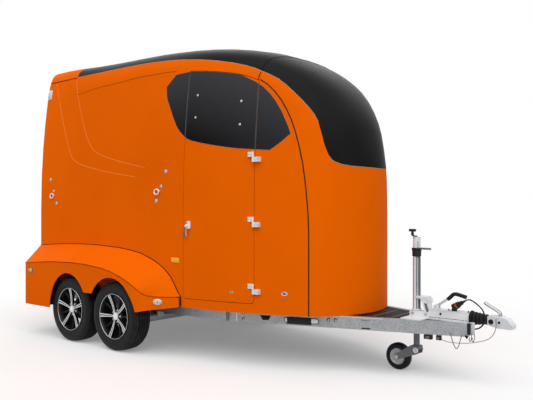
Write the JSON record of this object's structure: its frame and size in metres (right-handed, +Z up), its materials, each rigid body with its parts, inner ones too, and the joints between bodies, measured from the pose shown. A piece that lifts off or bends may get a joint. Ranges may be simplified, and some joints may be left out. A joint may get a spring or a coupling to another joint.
{
  "type": "horse trailer",
  "caption": "Enclosed horse trailer with a curved moulded nose, dark roof, side doors, loading ramp, tandem wheels under moulded fenders and a V drawbar with jockey wheel.",
  "frame": {"origin": "middle of the overall length and width, on the ground under the wheels", "axes": "X forward to the coupling, Y to the left, Z up"},
  "size_m": [4.794, 2.24, 2.845],
  "materials": {
    "orange_paint": "glossy orange gelcoat on moulded glass-fibre panels",
    "black_gloss": "glossy black gelcoat",
    "smoked_acrylic": "smoked acrylic window, nearly opaque",
    "galvanised_steel": "hot-dip galvanised steel, dull spangle",
    "bright_steel": "bright zinc-plated steel",
    "black_rubber": "moulded black rubber",
    "tyre_rubber": "matt black tyre rubber",
    "black_plastic": "black moulded plastic",
    "rim_alloy": "machined and painted alloy",
    "floor_board": "rubber mat on board",
    "lamp_lens": "red lamp lens"
  },
  "bodies": {
    "trailer": {"axle_front": "galvanised_steel", "axle_rear": "galvanised_steel", "bellows": "black_rubber", "breakaway_cable": "black_rubber", "chassis_frame": "galvanised_steel", "coupling_handle": "bright_steel", "coupling_head": "galvanised_steel", "drawbar_left": "galvanised_steel", "drawbar_plate": "black_plastic", "drawbar_right": "galvanised_steel", "fender_left": "orange_paint", "fender_right": "orange_paint", "floor_board": "floor_board", "floor_mat": "black_rubber", "handbrake_lever": "black_plastic", "jockey_bracket": "bright_steel", "jockey_outer_tube": "galvanised_steel", "nose_hood": "black_gloss", "nose_shell": "orange_paint", "nose_trim_left": "black_rubber", "nose_trim_right": "black_rubber", "overrun_housing": "bright_steel", "pane_front_left": "smoked_acrylic", "pane_front_right": "smoked_acrylic", "pane_rear_left": "smoked_acrylic", "pane_rear_right": "smoked_acrylic", "plug": "black_plastic", "plug_holder": "black_plastic", "plug_lead": "black_rubber", "rear_cap": "orange_paint", "rear_frame": "galvanised_steel", "roof_panel": "black_gloss", "side_wall_left": "orange_paint", "side_wall_right": "orange_paint", "tail_lamp_left": "lamp_lens", "tail_lamp_right": "lamp_lens"},
    "wheel_rear_right": {"tyre_rear_right": "tyre_rubber", "rim_rear_right": "rim_alloy"},
    "wheel_rear_left": {"tyre_rear_left": "tyre_rubber", "rim_rear_left": "rim_alloy"},
    "wheel_front_right": {"tyre_front_right": "tyre_rubber", "rim_front_right": "rim_alloy"},
    "wheel_front_left": {"tyre_front_left": "tyre_rubber", "rim_front_left": "rim_alloy"},
    "door_right": {"door_panel_right": "orange_paint", "pane_door_right": "smoked_acrylic", "door_handle_right": "bright_steel"},
    "door_left": {"door_panel_left": "orange_paint", "pane_door_left": "smoked_acrylic", "door_handle_left": "bright_steel"},
    "ramp": {"rear_ramp": "orange_paint"},
    "flap": {"rear_flap": "orange_paint"},
    "jockey_slider": {"jockey_inner_tube": "galvanised_steel"},
    "jockey_swivel_fork": {"jockey_fork": "galvanised_steel"},
    "jockey_wheel": {"jockey_tyre": "tyre_rubber", "jockey_rim": "bright_steel"}
  },
  "joints": [
    {"name": "wheel_rear_right_spin", "type": "hinge", "parent": "trailer", "child": "wheel_rear_right", "pos_m": [-1.547, -0.9875, 0.317], "axis": [0, 1, 0], "continuous": true},
    {"name": "wheel_rear_left_spin", "type": "hinge", "parent": "trailer", "child": "wheel_rear_left", "pos_m": [-1.547, 0.9875, 0.317], "axis": [0, 1, 0], "continuous": true},
    {"name": "wheel_front_right_spin", "type": "hinge", "parent": "trailer", "child": "wheel_front_right", "pos_m": [-0.851, -0.9875, 0.317], "axis": [0, 1, 0], "continuous": true},
    {"name": "wheel_front_left_spin", "type": "hinge", "parent": "trailer", "child": "wheel_front_left", "pos_m": [-0.851, 0.9875, 0.317], "axis": [0, 1, 0], "continuous": true},
    {"name": "side_door_right", "type": "hinge", "parent": "trailer", "child": "door_right", "pos_m": [0.558, -0.75524, 1.193], "axis": [0, 0, 1], "range_deg": [0, 105]},
    {"name": "side_door_left", "type": "hinge", "parent": "trailer", "child": "door_left", "pos_m": [0.558, 0.75524, 1.193], "axis": [0, 0, 1], "range_deg": [-105, 0]},
    {"name": "ramp_hinge", "type": "hinge", "parent": "trailer", "child": "ramp", "pos_m": [-2.387, 0, 0.487], "axis": [0, -1, 0], "range_deg": [0, 104]},
    {"name": "flap_hinge", "type": "hinge", "parent": "trailer", "child": "flap", "pos_m": [-2.387, 0, 2.6], "axis": [0, 1, 0], "range_deg": [0, 100]},
    {"name": "jockey_lift", "type": "slide", "parent": "trailer", "child": "jockey_slider", "axis": [0, 0, 1], "range_m": [-0.1, 0.105]},
    {"name": "jockey_swivel", "type": "hinge", "parent": "jockey_slider", "child": "jockey_swivel_fork", "pos_m": [1.631, 0, 0.215], "axis": [0, 0, 1], "continuous": true},
    {"name": "jockey_spin", "type": "hinge", "parent": "jockey_swivel_fork", "child": "jockey_wheel", "pos_m": [1.473, 0, 0.108], "axis": [0, 1, 0], "continuous": true}
  ]
}
